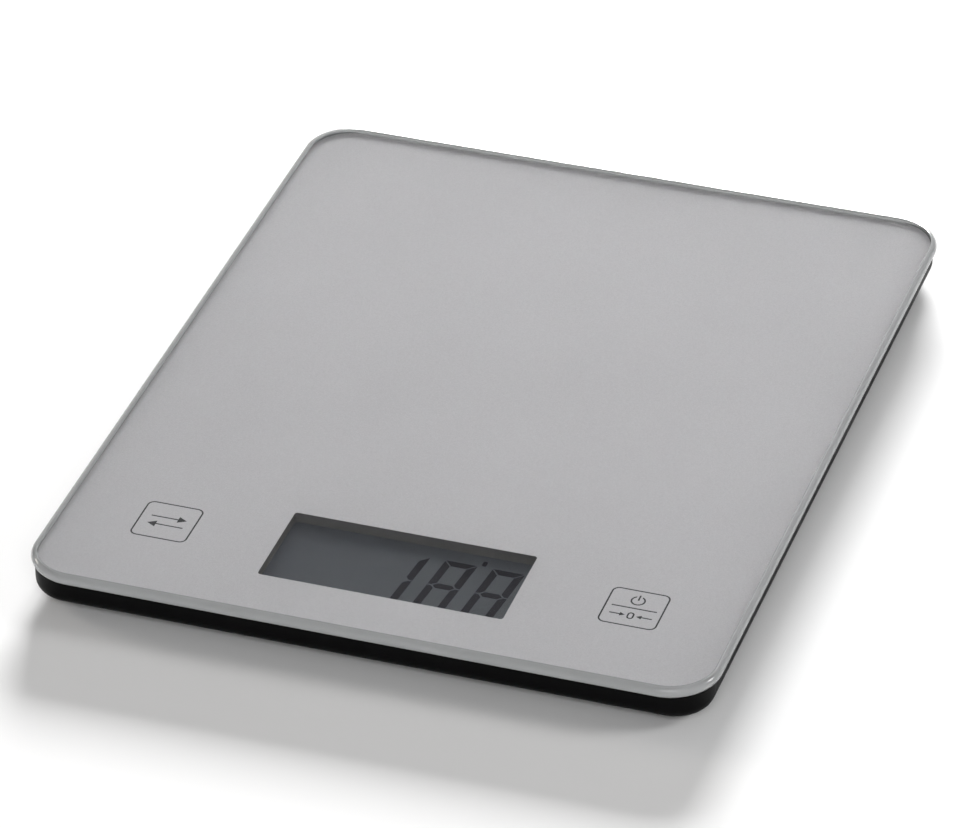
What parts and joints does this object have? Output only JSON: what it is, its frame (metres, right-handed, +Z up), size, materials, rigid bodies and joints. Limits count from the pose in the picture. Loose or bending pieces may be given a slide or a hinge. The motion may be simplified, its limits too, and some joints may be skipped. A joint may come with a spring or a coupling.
{
  "type": "kitchen scale",
  "caption": "Slim digital kitchen scale: printed glass weighing plate on a black tray, display window and two touch fields under the glass, four load-cell feet and a battery door.",
  "frame": {"origin": "on the table under the middle of the weighing plate", "axes": "+Z up, +Y towards the back (away from the display), +X to the user's right"},
  "size_m": [0.17, 0.212, 0.0122],
  "materials": {
    "clear_glass": "clear float glass with a half-round, finely ground edge",
    "silver_ink": "silver ink screen-printed behind the glass, with a fine metallic mottle",
    "legend_ink": "dark grey ink",
    "smoke_film": "transparent smoke ink",
    "tape_foam": "black foam tape",
    "tray_plastic": "black ABS, finely textured",
    "cell_steel": "stamped steel",
    "screw_steel": "zinc-plated",
    "potting": "white silicone",
    "foot_plastic": "black ABS",
    "pad_rubber": "dark grey rubber",
    "lead_red": "PVC insulation",
    "lead_black": "PVC insulation",
    "lead_white": "PVC insulation",
    "board_green": "green solder mask on fibreglass",
    "chip_black": "epoxy",
    "part_ceramic": "chip resistors and capacitors",
    "lcd_glass": "display glass",
    "polariser": "anti-glare polariser film over the liquid crystal",
    "reflector": "transflective film",
    "segment_dark": "darkened liquid crystal",
    "connector_film": "heat-seal film",
    "frame_plastic": "warm grey ABS",
    "electrode_copper": "copper sheet",
    "contact_metal": "nickel-plated spring sheet",
    "coin_steel": "nickel-plated steel can"
  },
  "bodies": {
    "stand": {"load_cell_fl": "cell_steel", "load_cell_fr": "cell_steel", "load_cell_bl": "cell_steel", "load_cell_br": "cell_steel", "foot_fl": "foot_plastic", "foot_fr": "foot_plastic", "foot_bl": "foot_plastic", "foot_br": "foot_plastic", "foot_pad_fl": "pad_rubber", "foot_pad_fr": "pad_rubber", "foot_pad_bl": "pad_rubber", "foot_pad_br": "pad_rubber"},
    "platform": {"glass_plate": "clear_glass", "silver_print": "silver_ink", "legend_print": "legend_ink", "window_film": "smoke_film", "bonding_tape": "tape_foam", "tray": "tray_plastic", "gauge_potting": "potting", "cell_screws": "screw_steel", "cell_leads_fl": "lead_red", "cell_leads_fr": "lead_red", "cell_leads_bl": "lead_red", "cell_leads_br": "lead_red", "circuit_board": "board_green", "board_screws": "screw_steel", "chip_blob": "chip_black", "touch_chip": "chip_black", "small_parts": "part_ceramic", "lcd_panel": "lcd_glass", "lcd_polariser": "polariser", "lcd_reflector": "reflector", "lcd_segments": "segment_dark", "lcd_connector": "connector_film", "display_frame": "frame_plastic", "frame_screws": "screw_steel", "touch_electrode_left": "electrode_copper", "touch_electrode_right": "electrode_copper", "touch_leads": "lead_white", "coin_cell": "coin_steel", "contact_positive": "contact_metal", "contact_negative": "contact_metal", "battery_lead_positive": "lead_red", "battery_lead_negative": "lead_black"},
    "battery_door": {"battery_door": "tray_plastic"}
  },
  "joints": [
    {"name": "platform_press", "type": "slide", "parent": "stand", "child": "platform", "axis": [0, 0, -1], "range_m": [0, 0.0005], "stiffness_N_per_m": 5000, "springref_m": -0.00071, "deforming": ["load_cell_fl", "load_cell_fr", "load_cell_bl", "load_cell_br"]},
    {"name": "battery_door_hinge", "type": "hinge", "parent": "platform", "child": "battery_door", "pos_m": [0, 0.053, 0.0036], "axis": [1, 0, 0], "range_deg": [0, 95]}
  ]
}
